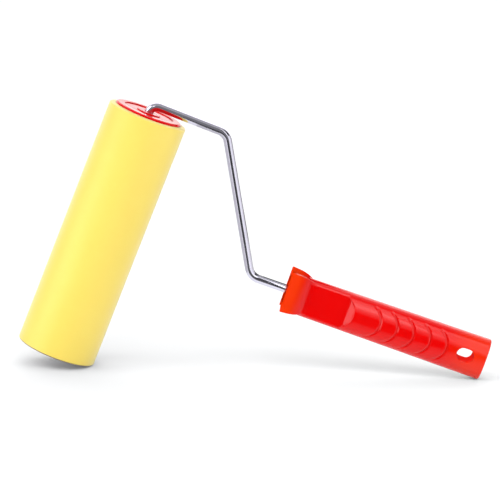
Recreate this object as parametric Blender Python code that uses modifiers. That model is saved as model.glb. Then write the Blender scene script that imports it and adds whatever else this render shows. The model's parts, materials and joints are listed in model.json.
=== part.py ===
"""Paint roller: a foam sleeve on a capped core, a cranked wire frame and a moulded handle.

The tool stands like a tent, on the outer rim of its foam sleeve and on the lower corner of
the handle's butt. Lengths are metres and +Z is up. The wire frame lies in the plane y = 0, the
floor is z = 0, and the origin is the middle of the underside of the bounding box.

The pieces are laid out in the tool's own frame: the roller's centre is its origin, the
roller's axis is Z with the bend of the wire at the top, and the handle points along X.
"""

import math

import bmesh
import bpy
from mathutils import Matrix, Vector

MODEL = "paint_roller"
CLEARANCE = 0.0003
OVERLAP = 0.001
TURNED_STEPS = 64
MERGE = 0.00001

# Roller: a foam sleeve on a plastic core tube
ROLLER_LENGTH = 0.180
ROLLER_RADIUS = 0.0282
CORE_RADIUS = 0.024
CORE_WALL = 0.002
FOAM_EDGE = 0.001

# End cap: a flange over the core's end, a spigot inside the core and a hub on the wire. The
# inner cap stands proud of the foam, and the outer cap is sunk just inside it.
FLANGE_HEIGHT = 0.0021
FLANGE_EDGE = 0.0005
CAP_RECESS_INNER = 0.0087
CAP_RECESS_OUTER = 0.018
CAP_RECESS_DEPTH = 0.0007
CAP_PLATE = 0.0016
SPIGOT_LENGTH = 0.014
SPIGOT_WALL = 0.002
HUB_RADIUS = 0.0062
HUB_LENGTH = 0.016
OUTER_CAP_SINK = 0.0004
CAP_RIBS = 6
CAP_RIB_WIDTH = 0.0014
CAP_RIB_DEPTH = 0.010

# Wire frame: corners of its centre line in the tool's frame, and the bends between them
WIRE_RADIUS = 0.003
WIRE_SIDES_SETTING = 6
CRANK_HEIGHT = 0.0976
CRANK_REACH = 0.0557
ELBOW_REACH = 0.1081
CRANK_BEND = 0.006
SHOULDER_BEND = 0.0095
ELBOW_BEND = 0.010
BEND_STEPS = 8
WIRE_IN_HANDLE = 0.062

# Retainer at the outer end of the axle
WASHER_RADIUS = 0.0065
WASHER_THICKNESS = 0.0008
NUT_RADIUS = 0.0055
NUT_HEIGHT = 0.0022
NUT_SHEET = 0.0006
NUT_TEETH = 6
AXLE_TAIL = 0.0006

# Handle: stations run along its axis from the front face, X in its own frame
HANDLE_LENGTH = 0.1478
HANDLE_FRONT = 0.1356
HANDLE_HEIGHT_AT_FRONT = 0.0094
HANDLE_TILT = math.radians(1.9)
BODY_START = 0.012
BODY_HALF_HEIGHTS = (0.01395, 0.01495)
BODY_HALF_DEPTHS = (0.0098, 0.0102)
BODY_SQUARENESS = 2.3
BODY_SIDES = 48
BUTT_EDGE = 0.0012
BUTT_STEPS = 3

# The head and the wire in it lie this far above the middle of the body
HEAD_RISE = 0.001
HEAD_HALF_HEIGHTS = (0.0149, 0.0141)
HEAD_HALF_DEPTH = 0.0124
HEAD_BOW_RADIUS = 0.020
HEAD_FILLET = 0.003
HEAD_SCOOP = 0.0024
HEAD_EDGE = 0.0006
HEAD_BOW_STEPS = 8
HEAD_FILLET_STEPS = 4
HEAD_TOP_STEPS = 8

POCKET_DEPTH = 0.007
POCKET_HALF_HEIGHT = 0.0104
POCKET_HALF_DEPTH = 0.0098
BOSS_RADIUS = 0.0056
POCKET_RIB_WIDTH = 0.0018
POCKET_RIB_SETBACK = 0.0006

GRIP_FLOOR = 0.00595
GRIP_START = 0.009
GRIP_END = 0.044
GRIP_RAMP_RUN = 0.0086
GRIP_RAMP_RISE = 0.0062
GRIP_APEX = 0.0493
GRIP_BOW_HALF_HEIGHT = 0.0107

GROOVE_COUNT = 5
GROOVE_FIRST = 0.0693
GROOVE_PITCH = 0.0123
GROOVE_ARC_RADIUS = 0.0122
GROOVE_HALF_ANGLE = math.radians(70.0)
GROOVE_STEPS = 18
GROOVE_TOOL_RADIUS = 0.0008
GROOVE_DEPTH = 0.00045

HANG_HOLE_STATION = 0.1328
HANG_HOLE_LENGTH = 0.0125
HANG_HOLE_WIDTH = 0.0093
HANG_HOLE_END_STEPS = 12

CUTTER_REACH = 0.020

OUTER_CAP_FACE = ROLLER_LENGTH / 2 - OUTER_CAP_SINK
OUTER_CORE_END = OUTER_CAP_FACE - FLANGE_HEIGHT
BORE_RADIUS = WIRE_RADIUS + CLEARANCE
AXLE_END = OUTER_CAP_FACE + WASHER_THICKNESS + NUT_HEIGHT + 2 * CLEARANCE + AXLE_TAIL


def clear_scene():
    """Remove every object that the file opens with."""
    for existing in list(bpy.data.objects):
        bpy.data.objects.remove(existing, do_unlink=True)


def new_collection(name):
    """Return a new collection linked to the scene."""
    collection = bpy.data.collections.new(name)
    bpy.context.scene.collection.children.link(collection)
    return collection


def new_material(name, colour, roughness, metallic=0.0):
    """Return a Principled material."""
    material = bpy.data.materials.new(name)
    material.use_nodes = True
    shader = material.node_tree.nodes["Principled BSDF"]
    shader.inputs["Base Color"].default_value = (*colour, 1.0)
    shader.inputs["Roughness"].default_value = roughness
    shader.inputs["Metallic"].default_value = metallic
    return material


def add_empty(name, parent=None):
    """Return an empty that carries other objects."""
    empty = bpy.data.objects.new(name, None)
    parts.objects.link(empty)
    empty.parent = parent
    return empty


def add_piece(name, data, material, parent):
    """Return a visible piece of the tool made from a mesh or a curve."""
    piece = bpy.data.objects.new(name, data)
    parts.objects.link(piece)
    piece.parent = parent
    data.materials.append(material)
    return piece


def add_operand(data, piece, rise):
    """Return a hidden shape in a piece's own frame, lifted by a rise, for that piece's Booleans."""
    operand = bpy.data.objects.new(data.name, data)
    cutters.objects.link(operand)
    operand.parent = piece
    operand.location = (0, 0, rise)
    operand.hide_render = True
    operand.display_type = "WIRE"
    return operand


def add_boolean(piece, operation, data, rise=0.0):
    """Cut a shape from a piece, or join it on."""
    boolean = piece.modifiers.new(f"{operation.lower()}_{data.name}", "BOOLEAN")
    boolean.operation = operation
    boolean.solver = "EXACT"
    boolean.object = add_operand(data, piece, rise)


def finish_mesh(shape, name):
    """Turn a bmesh into a mesh whose faces point out."""
    bmesh.ops.recalc_face_normals(shape, faces=shape.faces)
    mesh = bpy.data.meshes.new(name)
    shape.to_mesh(mesh)
    shape.free()
    return mesh


def box_mesh(name, low, high):
    """Return a box between two corners."""
    shape = bmesh.new()
    bmesh.ops.create_cube(shape, size=1.0)
    size = Vector(high) - Vector(low)
    middle = (Vector(high) + Vector(low)) / 2
    place = Matrix.Translation(middle) @ Matrix.Diagonal((*size, 1.0))
    bmesh.ops.transform(shape, matrix=place, verts=shape.verts)
    return finish_mesh(shape, name)


def rod_mesh(name, radius, start, end, sides=32):
    """Return a cylinder along X from one station to another."""
    shape = bmesh.new()
    bmesh.ops.create_cone(
        shape, cap_ends=True, segments=sides, radius1=radius, radius2=radius, depth=end - start
    )
    place = Matrix.Translation(((start + end) / 2, 0, 0)) @ Matrix.Rotation(math.pi / 2, 4, "Y")
    bmesh.ops.transform(shape, matrix=place, verts=shape.verts)
    return finish_mesh(shape, name)


def prism_mesh(name, outline, low, high):
    """Return an outline of (x, y) points made solid between two heights along Z."""
    shape = bmesh.new()
    floor = shape.faces.new([shape.verts.new((x, y, low)) for x, y in outline])
    sweep = bmesh.ops.extrude_face_region(shape, geom=[floor])
    risen = [item for item in sweep["geom"] if isinstance(item, bmesh.types.BMVert)]
    bmesh.ops.translate(shape, vec=(0, 0, high - low), verts=risen)
    return finish_mesh(shape, name)


def arc_points(centre, radius, start, end, steps):
    """Return points on an arc, both ends included, with angles in degrees."""
    points = []
    for step in range(steps + 1):
        angle = math.radians(start + (end - start) * step / steps)
        points.append((centre[0] + radius * math.cos(angle), centre[1] + radius * math.sin(angle)))
    return points


def turned_piece(name, profile, material, parent, steps=TURNED_STEPS):
    """Turn a closed (radius, height) profile about Z; it runs down its outer side first."""
    mesh = bpy.data.meshes.new(name)
    edges = [(index, (index + 1) % len(profile)) for index in range(len(profile))]
    mesh.from_pydata([(radius, 0, height) for radius, height in profile], edges, [])
    piece = add_piece(name, mesh, material, parent)
    screw = piece.modifiers.new("turn", "SCREW")
    screw.steps = steps
    screw.render_steps = steps
    screw.use_merge_vertices = True
    screw.merge_threshold = MERGE
    return piece


def make_foam_cover(material, parent):
    """Sleeve of fine foam with softly rounded end rims."""
    half = ROLLER_LENGTH / 2
    inner = CORE_RADIUS + CLEARANCE
    shoulder = (ROLLER_RADIUS - FOAM_EDGE, half - FOAM_EDGE)
    top_rim = arc_points(shoulder, FOAM_EDGE, 90, 0, 3)
    bottom_rim = [(radius, -height) for radius, height in reversed(top_rim)]
    return turned_piece(
        "foam_cover", top_rim + bottom_rim + [(inner, -half), (inner, half)], material, parent
    )


def make_core_tube(material, parent):
    """Tube that carries the foam and holds both end caps."""
    top = ROLLER_LENGTH / 2 - CLEARANCE
    bottom = CLEARANCE - OUTER_CORE_END
    inner = CORE_RADIUS - CORE_WALL
    profile = [(CORE_RADIUS, top), (CORE_RADIUS, bottom), (inner, bottom), (inner, top)]
    return turned_piece("core_tube", profile, material, parent)


def make_end_cap(name, material, parent, core_end, turn):
    """Flanged cap; its own z = 0 is the core's end and +Z points out of the roller."""
    spigot = CORE_RADIUS - CORE_WALL - CLEARANCE
    recess_floor = FLANGE_HEIGHT - CAP_RECESS_DEPTH
    plate_back = recess_floor - CAP_PLATE
    rim = arc_points(
        (CORE_RADIUS - FLANGE_EDGE, FLANGE_HEIGHT - FLANGE_EDGE), FLANGE_EDGE, 90, 0, 3
    )
    profile = rim + [
        (CORE_RADIUS, 0),
        (spigot, 0),
        (spigot, -SPIGOT_LENGTH),
        (spigot - SPIGOT_WALL, -SPIGOT_LENGTH),
        (spigot - SPIGOT_WALL, plate_back),
        (HUB_RADIUS, plate_back),
        (HUB_RADIUS, -HUB_LENGTH),
        (BORE_RADIUS, -HUB_LENGTH),
        (BORE_RADIUS, FLANGE_HEIGHT),
        (CAP_RECESS_INNER, FLANGE_HEIGHT),
        (CAP_RECESS_INNER, recess_floor),
        (CAP_RECESS_OUTER, recess_floor),
        (CAP_RECESS_OUTER, FLANGE_HEIGHT),
    ]
    cap = turned_piece(name, profile, material, parent)
    cap.rotation_euler = (turn, 0, 0)
    cap.location = (0, 0, core_end)
    for index in range(CAP_RIBS):
        rib = box_mesh(
            f"{name}_rib_{index + 1}",
            (HUB_RADIUS - OVERLAP, -CAP_RIB_WIDTH / 2, -CAP_RIB_DEPTH),
            (spigot - SPIGOT_WALL + OVERLAP, CAP_RIB_WIDTH / 2, plate_back + OVERLAP),
        )
        rib.transform(Matrix.Rotation(math.tau * index / CAP_RIBS, 4, "Z"))
        add_boolean(cap, "UNION", rib)
    return cap


def rounded_path(corners, radii, steps):
    """Return a path through corners whose inner corners become arcs of the given radii."""
    path = [corners[0]]
    for before, corner, after, radius in zip(corners, corners[1:], corners[2:], radii):
        inward = (before - corner).normalized()
        outward = (after - corner).normalized()
        half_angle = inward.angle(outward) / 2
        centre = corner + (inward + outward).normalized() * radius / math.sin(half_angle)
        start = (corner + inward * radius / math.tan(half_angle) - centre).normalized()
        end = (corner + outward * radius / math.tan(half_angle) - centre).normalized()
        for step in range(steps + 1):
            path.append(centre + radius * start.slerp(end, step / steps))
    path.append(corners[-1])
    return path


def make_wire_frame(material, parent):
    """One bent wire: axle, crank, sloping arm and the stub inside the handle."""
    along_handle = Vector((math.cos(HANDLE_TILT), 0, math.sin(HANDLE_TILT)))
    upward = Vector((-along_handle.z, 0, along_handle.x))
    front = Vector((HANDLE_FRONT, 0, HANDLE_HEIGHT_AT_FRONT)) + upward * HEAD_RISE
    elbow = front - along_handle * (front.x - ELBOW_REACH) / along_handle.x
    corners = [
        Vector((0, 0, -AXLE_END)),
        Vector((0, 0, CRANK_HEIGHT)),
        Vector((CRANK_REACH, 0, CRANK_HEIGHT)),
        elbow,
        front + along_handle * WIRE_IN_HANDLE,
    ]
    path = rounded_path(corners, (CRANK_BEND, SHOULDER_BEND, ELBOW_BEND), BEND_STEPS)
    wire = sweep_curve("wire_frame", path, WIRE_RADIUS, WIRE_SIDES_SETTING)
    return add_piece("wire_frame", wire, material, parent)


def sweep_curve(name, path, radius, resolution):
    """Return a round bar along a path."""
    curve = bpy.data.curves.new(name, "CURVE")
    curve.dimensions = "3D"
    curve.bevel_depth = radius
    curve.bevel_resolution = resolution
    curve.use_fill_caps = True
    spline = curve.splines.new("POLY")
    spline.points.add(len(path) - 1)
    for point, place in zip(spline.points, path):
        point.co = (*place, 1.0)
    return curve


def make_retainer(material, parent):
    """Flat washer and toothed push nut that keep the roller on the axle."""
    washer_top = -OUTER_CAP_FACE - CLEARANCE
    washer_bottom = washer_top - WASHER_THICKNESS
    washer = [
        (WASHER_RADIUS, washer_top),
        (WASHER_RADIUS, washer_bottom),
        (BORE_RADIUS, washer_bottom),
        (BORE_RADIUS, washer_top),
    ]
    turned_piece("retaining_washer", washer, material, parent, steps=32)

    nut_top = washer_bottom - CLEARANCE
    skirt = NUT_RADIUS - NUT_SHEET
    crown = nut_top - NUT_HEIGHT
    nut = [
        (NUT_RADIUS, nut_top),
        (NUT_RADIUS, nut_top - NUT_HEIGHT / 2),
        (skirt, crown),
        (BORE_RADIUS, crown),
        (BORE_RADIUS, crown + NUT_SHEET),
        (skirt - NUT_SHEET / 2, crown + NUT_SHEET),
        (skirt, nut_top - NUT_HEIGHT / 2),
        (skirt, nut_top),
    ]
    push_nut = turned_piece("push_nut", nut, material, parent, steps=36)
    for index in range(NUT_TEETH):
        slit = box_mesh(
            f"push_nut_slit_{index + 1}",
            (BORE_RADIUS - OVERLAP, -NUT_SHEET / 2, crown - OVERLAP),
            (skirt - NUT_SHEET, NUT_SHEET / 2, crown + NUT_SHEET + OVERLAP),
        )
        slit.transform(Matrix.Rotation(math.tau * (index + 0.25) / NUT_TEETH, 4, "Z"))
        add_boolean(push_nut, "DIFFERENCE", slit)


def along_body(values, station):
    """Return a size that changes evenly from the body's start to the butt."""
    share = (station - BODY_START) / (HANDLE_LENGTH - BODY_START)
    return values[0] + (values[1] - values[0]) * share


def body_section(station, inset):
    """Return one rounded oval ring of the handle's body, (x, y, z) points."""
    half_height = along_body(BODY_HALF_HEIGHTS, station) - inset
    half_depth = along_body(BODY_HALF_DEPTHS, station) - inset
    power = 2 / BODY_SQUARENESS
    ring = []
    for index in range(BODY_SIDES):
        angle = math.tau * index / BODY_SIDES
        across = math.copysign(abs(math.cos(angle)) ** power, math.cos(angle))
        upward = math.copysign(abs(math.sin(angle)) ** power, math.sin(angle))
        ring.append((station, half_depth * across, half_height * upward))
    return ring


def body_mesh():
    """Loft the handle's body, with a small radius round the butt."""
    straight_end = HANDLE_LENGTH - BUTT_EDGE
    sections = [body_section(BODY_START, 0), body_section(straight_end, 0)]
    for step in range(1, BUTT_STEPS + 1):
        angle = math.pi / 2 * step / BUTT_STEPS
        station = straight_end + BUTT_EDGE * math.sin(angle)
        sections.append(body_section(station, BUTT_EDGE * (1 - math.cos(angle))))

    shape = bmesh.new()
    rings = [[shape.verts.new(point) for point in section] for section in sections]
    for ring, following in zip(rings, rings[1:]):
        for index in range(BODY_SIDES):
            after = (index + 1) % BODY_SIDES
            shape.faces.new((ring[index], ring[after], following[after], following[index]))
    shape.faces.new(rings[0])
    shape.faces.new(rings[-1])
    return finish_mesh(shape, "handle")


def head_side():
    """Plan of one side of the head: it bows in from the front, then fillets into the grip."""
    bow_centre = (0, HEAD_HALF_DEPTH - HEAD_BOW_RADIUS)
    fillet_height = GRIP_FLOOR + HEAD_FILLET
    reach = HEAD_BOW_RADIUS + HEAD_FILLET
    turn = math.degrees(math.acos((fillet_height - bow_centre[1]) / reach))
    fillet_centre = (reach * math.sin(math.radians(turn)), fillet_height)
    bow = arc_points(bow_centre, HEAD_BOW_RADIUS, 90, 90 - turn, HEAD_BOW_STEPS)
    fillet = arc_points(fillet_centre, HEAD_FILLET, 270 - turn, 270, HEAD_FILLET_STEPS)
    return bow + fillet[1:]


def head_mesh():
    """Loft the head from its front to the waist; its top and underside are scooped."""
    side = head_side()
    shape = bmesh.new()
    rings = []
    for station, half_depth in side:
        share = station / side[-1][0]
        height = HEAD_HALF_HEIGHTS[0] + (HEAD_HALF_HEIGHTS[1] - HEAD_HALF_HEIGHTS[0]) * share
        top = []
        for step in range(HEAD_TOP_STEPS + 1):
            across = 1 - 2 * step / HEAD_TOP_STEPS
            top.append((half_depth * across, height - HEAD_SCOOP * (1 - across**2)))
        outline = top + [(y, -z) for y, z in reversed(top)]
        rings.append([shape.verts.new((station, y, z)) for y, z in outline])
    count = len(rings[0])
    for ring, following in zip(rings, rings[1:]):
        for index in range(count):
            after = (index + 1) % count
            shape.faces.new((ring[index], ring[after], following[after], following[index]))
    shape.faces.new(rings[0])
    shape.faces.new(rings[-1])
    return finish_mesh(shape, "head")


def add_head(handle):
    """Join the flared head on, and core out its front round a ribbed wire boss."""
    add_boolean(handle, "UNION", head_mesh(), HEAD_RISE)
    edges = bpy.data.objects["head"].modifiers.new("edges", "BEVEL")
    edges.width = HEAD_EDGE
    edges.segments = 2
    pocket = box_mesh(
        "pocket",
        (-OVERLAP, -POCKET_HALF_DEPTH, -POCKET_HALF_HEIGHT),
        (POCKET_DEPTH, POCKET_HALF_DEPTH, POCKET_HALF_HEIGHT),
    )
    add_boolean(handle, "DIFFERENCE", pocket, HEAD_RISE)
    back = POCKET_DEPTH + OVERLAP
    half = POCKET_RIB_WIDTH / 2
    upright_reach = POCKET_HALF_HEIGHT + OVERLAP
    level_reach = POCKET_HALF_DEPTH + OVERLAP / 2
    ribs = (
        ("upright_rib", (half, upright_reach)),
        ("level_rib", (level_reach, half)),
    )
    for name, (y_reach, z_reach) in ribs:
        rib = box_mesh(name, (POCKET_RIB_SETBACK, -y_reach, -z_reach), (back, y_reach, z_reach))
        add_boolean(handle, "UNION", rib, HEAD_RISE)
    boss = rod_mesh("boss", BOSS_RADIUS, POCKET_RIB_SETBACK / 2, back)
    add_boolean(handle, "UNION", boss, HEAD_RISE)


def add_grips(handle):
    """Cut a flat finger grip into each side of the body; it ends in a ramp and a bow."""
    bow_centre = GRIP_APEX - GROOVE_ARC_RADIUS
    bow_angle = math.degrees(math.asin(GRIP_BOW_HALF_HEIGHT / GROOVE_ARC_RADIUS))
    bow = arc_points((bow_centre, 0), GROOVE_ARC_RADIUS, -bow_angle, bow_angle, GROOVE_STEPS)
    plan = [(GRIP_START, CUTTER_REACH), (GRIP_START, -CUTTER_REACH)]
    plan += [(bow[0][0], -CUTTER_REACH), *bow, (bow[-1][0], CUTTER_REACH)]
    for side, name in ((1, "grip_left"), (-1, "grip_right")):
        ramp = [
            (GRIP_START - OVERLAP, GRIP_FLOOR),
            (GRIP_END, GRIP_FLOOR),
            (GRIP_END + GRIP_RAMP_RUN, GRIP_FLOOR + GRIP_RAMP_RISE),
            (GRIP_START - OVERLAP, GRIP_FLOOR + GRIP_RAMP_RISE),
        ]
        mirrored = [(x, side * y) for x, y in ramp]
        depth_range = sorted((0, side * (GRIP_FLOOR + CUTTER_REACH)))
        grip = prism_mesh(name, plan, *depth_range)
        grip.transform(Matrix.Rotation(-math.pi / 2, 4, "X"))
        add_boolean(handle, "DIFFERENCE", grip)
        reach = CUTTER_REACH + OVERLAP
        ramp_mesh = prism_mesh(f"{name}_ramp", mirrored, -reach, reach)
        add_boolean(bpy.data.objects[name], "INTERSECT", ramp_mesh)


def groove_path(apex, side):
    """Return the path of one groove tool over the body; it lifts out at both ends."""
    path = []
    for step in range(GROOVE_STEPS + 1):
        share = 2 * step / GROOVE_STEPS - 1
        angle = share * GROOVE_HALF_ANGLE
        station = apex - GROOVE_ARC_RADIUS * (1 - math.cos(angle))
        height = GROOVE_ARC_RADIUS * math.sin(angle)
        half_height = along_body(BODY_HALF_HEIGHTS, station)
        half_depth = along_body(BODY_HALF_DEPTHS, station)
        rise = (abs(height) / half_height) ** BODY_SQUARENESS
        depth = half_depth * (1 - rise) ** (1 / BODY_SQUARENESS)
        slope_depth = (depth / half_depth) ** (BODY_SQUARENESS - 1) / half_depth
        slope_height = (abs(height) / half_height) ** (BODY_SQUARENESS - 1) / half_height
        outward = Vector((0, slope_depth, math.copysign(slope_height, height))).normalized()
        lift = GROOVE_TOOL_RADIUS - GROOVE_DEPTH * (1 - share**4)
        place = Vector((station, depth, height)) + outward * lift
        path.append(Vector((place.x, side * place.y, place.z)))
    return path


def mesh_from_curve(curve):
    """Turn a capped curve into a closed mesh, for use in a Boolean."""
    holder = bpy.data.objects.new(curve.name, curve)
    cutters.objects.link(holder)
    bpy.context.view_layer.update()
    evaluated = holder.evaluated_get(bpy.context.evaluated_depsgraph_get())
    shape = bmesh.new()
    shape.from_mesh(bpy.data.meshes.new_from_object(evaluated))
    bmesh.ops.remove_doubles(shape, verts=shape.verts, dist=MERGE)
    name = curve.name
    bpy.data.objects.remove(holder, do_unlink=True)
    bpy.data.curves.remove(curve)
    return finish_mesh(shape, name)


def add_grooves(handle):
    """Cut the bowed anti-slip grooves into both sides of the body."""
    for index in range(GROOVE_COUNT):
        apex = GROOVE_FIRST + index * GROOVE_PITCH
        for side, hand in ((1, "left"), (-1, "right")):
            name = f"groove_{hand}_{index + 1}"
            tool = sweep_curve(name, groove_path(apex, side), GROOVE_TOOL_RADIUS, 2)
            add_boolean(handle, "DIFFERENCE", mesh_from_curve(tool))


def add_hang_hole(handle):
    """Cut the long hole near the butt that the tool hangs by."""
    radius = HANG_HOLE_WIDTH / 2
    half = HANG_HOLE_LENGTH / 2 - radius
    butt_end = arc_points((HANG_HOLE_STATION + half, 0), radius, -90, 90, HANG_HOLE_END_STEPS)
    front_end = arc_points((HANG_HOLE_STATION - half, 0), radius, 90, 270, HANG_HOLE_END_STEPS)
    slot = prism_mesh("hang_hole", butt_end + front_end, -CUTTER_REACH, CUTTER_REACH)
    slot.transform(Matrix.Rotation(math.pi / 2, 4, "X"))
    add_boolean(handle, "DIFFERENCE", slot)


def make_handle(material, parent):
    """Moulded handle, pressed onto the end of the wire."""
    handle = add_piece("handle", body_mesh(), material, parent)
    handle.location = (HANDLE_FRONT, 0, HANDLE_HEIGHT_AT_FRONT)
    handle.rotation_euler = (0, -HANDLE_TILT, 0)
    add_grips(handle)
    add_head(handle)
    bore_end = WIRE_IN_HANDLE + CLEARANCE
    bore = rod_mesh("bore", BORE_RADIUS, -OVERLAP, bore_end)
    add_boolean(handle, "DIFFERENCE", bore, HEAD_RISE)
    add_hang_hole(handle)
    add_grooves(handle)
    return handle


def lean_angle():
    """Return the lean at which the foam's rim and the butt's lower corner are level."""
    rim = Vector((ROLLER_RADIUS - FOAM_EDGE, FOAM_EDGE - ROLLER_LENGTH / 2))
    corner = Vector((HANDLE_LENGTH - BUTT_EDGE, BUTT_EDGE - BODY_HALF_HEIGHTS[1]))
    corner.rotate(Matrix.Rotation(HANDLE_TILT, 2))
    corner += Vector((HANDLE_FRONT, HANDLE_HEIGHT_AT_FRONT))
    span = corner - rim
    return math.atan2(span.y, span.x) + math.asin((FOAM_EDGE - BUTT_EDGE) / span.length)


def stand_on_origin(stand):
    """Move the tool so that the middle of its bounding box's underside is the origin."""
    bpy.context.view_layer.update()
    graph = bpy.context.evaluated_depsgraph_get()
    corners = []
    for piece in parts.objects:
        if piece.type != "EMPTY":
            evaluated = piece.evaluated_get(graph)
            mesh = evaluated.to_mesh()
            corners.extend(evaluated.matrix_world @ vertex.co for vertex in mesh.vertices)
            evaluated.to_mesh_clear()
    left = min(corner.x for corner in corners)
    right = max(corner.x for corner in corners)
    lowest = min(corner.z for corner in corners)
    stand.location = (-(left + right) / 2, 0, -lowest)


def shade_round(pieces):
    """Shade curved faces smooth and keep real edges sharp."""
    for piece in pieces:
        if piece.type == "MESH":
            piece.data.shade_smooth()
            piece.data.set_sharp_from_angle(angle=math.radians(35))


clear_scene()
parts = new_collection(MODEL)
cutters = new_collection(f"{MODEL}_cutters")

foam = new_material("foam", (0.98, 0.80, 0.18), 0.95)
red_plastic = new_material("red_plastic", (0.80, 0.005, 0.004), 0.22)
core_plastic = new_material("core_plastic", (0.72, 0.70, 0.66), 0.5)
plated_wire = new_material("plated_wire", (0.72, 0.72, 0.76), 0.16, 1.0)
spring_steel = new_material("spring_steel", (0.50, 0.50, 0.52), 0.35, 1.0)

tool = add_empty("tool")
tool.rotation_euler = (0, lean_angle(), 0)
roller_axis = add_empty("roller_axis", tool)

make_foam_cover(foam, roller_axis)
make_core_tube(core_plastic, roller_axis)
make_end_cap("end_cap_inner", red_plastic, roller_axis, ROLLER_LENGTH / 2, 0)
make_end_cap("end_cap_outer", red_plastic, roller_axis, -OUTER_CORE_END, math.pi)
make_wire_frame(plated_wire, tool)
make_retainer(spring_steel, tool)
make_handle(red_plastic, tool)

shade_round(parts.objects)
stand_on_origin(tool)
bpy.context.view_layer.update()
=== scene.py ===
import json
import math

import bmesh
import bpy
import numpy as np
from mathutils import Matrix, Vector, noise


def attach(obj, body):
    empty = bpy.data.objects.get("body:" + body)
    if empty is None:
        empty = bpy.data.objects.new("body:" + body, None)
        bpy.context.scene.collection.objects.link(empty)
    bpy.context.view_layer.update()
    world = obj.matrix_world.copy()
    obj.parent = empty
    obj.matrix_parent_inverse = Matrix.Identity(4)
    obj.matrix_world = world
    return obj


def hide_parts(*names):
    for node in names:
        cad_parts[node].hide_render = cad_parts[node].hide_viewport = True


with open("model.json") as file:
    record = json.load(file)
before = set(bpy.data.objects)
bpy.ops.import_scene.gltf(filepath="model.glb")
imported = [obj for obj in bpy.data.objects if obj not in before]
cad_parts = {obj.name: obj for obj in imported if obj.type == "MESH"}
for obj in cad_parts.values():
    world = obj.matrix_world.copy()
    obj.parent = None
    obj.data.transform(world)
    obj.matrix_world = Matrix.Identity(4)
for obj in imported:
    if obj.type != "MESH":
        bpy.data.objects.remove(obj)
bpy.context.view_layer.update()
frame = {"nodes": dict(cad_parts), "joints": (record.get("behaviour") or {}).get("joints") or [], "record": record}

# Lengths are metres, angles radians. Most of these repeat the driving sizes of the CAD pieces.
# The rest are fine edges, waves and small corrections that only the looks have.
ROLLER_LENGTH = 0.180
ROLLER_RADIUS = 0.0282
CORE_RADIUS = 0.024
CORE_WALL = 0.002
CLEARANCE = 0.0003

# Foam: the gap round the core, the swelling round the cap and the soft rims
FOAM_GAP = 0.0001
FOAM_BULGE = 0.0006
FOAM_RIM = 0.0011
FOAM_FACE = 0.0029
FOAM_RINGS = 148
FOAM_SIDES = 288
# How far its surface is from true: waves for each metre and their height, then the rest
FOAM_WAVES = ((55, 0.00006), (420, 0.00002))
FOAM_SHRINK = 0.00008
FOAM_END_SHRINK = 0.00006

FLANGE_HEIGHT = 0.0021
FLANGE_EDGE = 0.0014
CAP_RECESS_INNER = 0.0087
CAP_RECESS_OUTER = 0.018
CAP_RECESS_DEPTH = 0.0007
CAP_PLATE = 0.0016
SPIGOT_LENGTH = 0.014
SPIGOT_WALL = 0.002
HUB_RADIUS = 0.0062
HUB_LENGTH = 0.016
OUTER_CAP_SINK = 0.0004
CAP_RIBS = 6
CAP_RIB_WIDTH = 0.0014
CAP_RIB_DEPTH = 0.010
CAP_RIB_ROOT = 0.001
CAP_DRAFT = 0.0001
CAP_FILLET = 0.0004
CAP_SIDES = 160

WIRE_RADIUS = 0.003
CRANK_HEIGHT = 0.0976
CRANK_REACH = 0.0557
ELBOW_REACH = 0.1081
CRANK_BEND = 0.006
SHOULDER_BEND = 0.0095
ELBOW_BEND = 0.010
WIRE_IN_HANDLE = 0.062
WIRE_SIDES = 40
WIRE_CHAMFER = 0.0005
BEND_STEPS = 20

HANDLE_LENGTH = 0.1478
BODY_START = 0.012
BODY_HALF_HEIGHTS = (0.01395, 0.01495)
BODY_HALF_DEPTHS = (0.0098, 0.0102)
BODY_SQUARENESS = 2.3
BUTT_EDGE = 0.0012
HEAD_RISE = 0.001
HEAD_HALF_HEIGHTS = (0.0149, 0.0141)
HEAD_HALF_DEPTH = 0.0124
HEAD_BOW_RADIUS = 0.020
HEAD_FILLET = 0.003
HEAD_SCOOP = 0.0024
HEAD_EDGE = 0.0006
HEAD_TAIL = 0.001
HEAD_TAIL_DROP = 0.0022
HEAD_LEAD = 0.001
HEAD_BLEND = 0.0012
POCKET_DEPTH = 0.007
POCKET_HALF_HEIGHT = 0.0104
POCKET_HALF_DEPTH = 0.0098
BOSS_RADIUS = 0.0056
POCKET_RIB_WIDTH = 0.0018
POCKET_RIB_SETBACK = 0.0006
GRIP_FLOOR = 0.00595
GRIP_END = 0.044
GRIP_RAMP_SLOPE = math.atan2(0.0062, 0.0086)
GRIP_APEX = 0.0493
GRIP_BOW_HALF_HEIGHT = 0.0107
GRIP_EDGE = 0.0008
GROOVE_COUNT = 5
GROOVE_FIRST = 0.0693
GROOVE_PITCH = 0.0123
GROOVE_ARC_RADIUS = 0.0122
GROOVE_HALF_ANGLE = math.radians(70.0)
GROOVE_HALF_WIDTH = 0.0012
GROOVE_DEPTH = 0.0008
HANG_HOLE_STATION = 0.1328
HANG_HOLE_LENGTH = 0.0125
HANG_HOLE_WIDTH = 0.0093
HANG_HOLE_EDGE = 0.0008
RAMP_EDGE = 0.0006
RIB_FILLET = 0.0004
FINE_EDGE = 0.0003

BORE_RADIUS = WIRE_RADIUS + CLEARANCE

# The handle's mesh: size of a cell, and empty room round the field
HANDLE_CELL = 0.0004
HANDLE_MARGIN = 0.0011

# Colours; a bounce is the grey that a piece throws on the floor, which stays white
FOAM_LIGHT = (1.0, 0.775, 0.085)
FOAM_DEEP = (1.0, 0.735, 0.06)
# Painted shade: the dark line round the rim of the foam's outer, lower end
FOAM_PAINTED_SHADE = (0.16, 0.06, 0.012)
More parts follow.
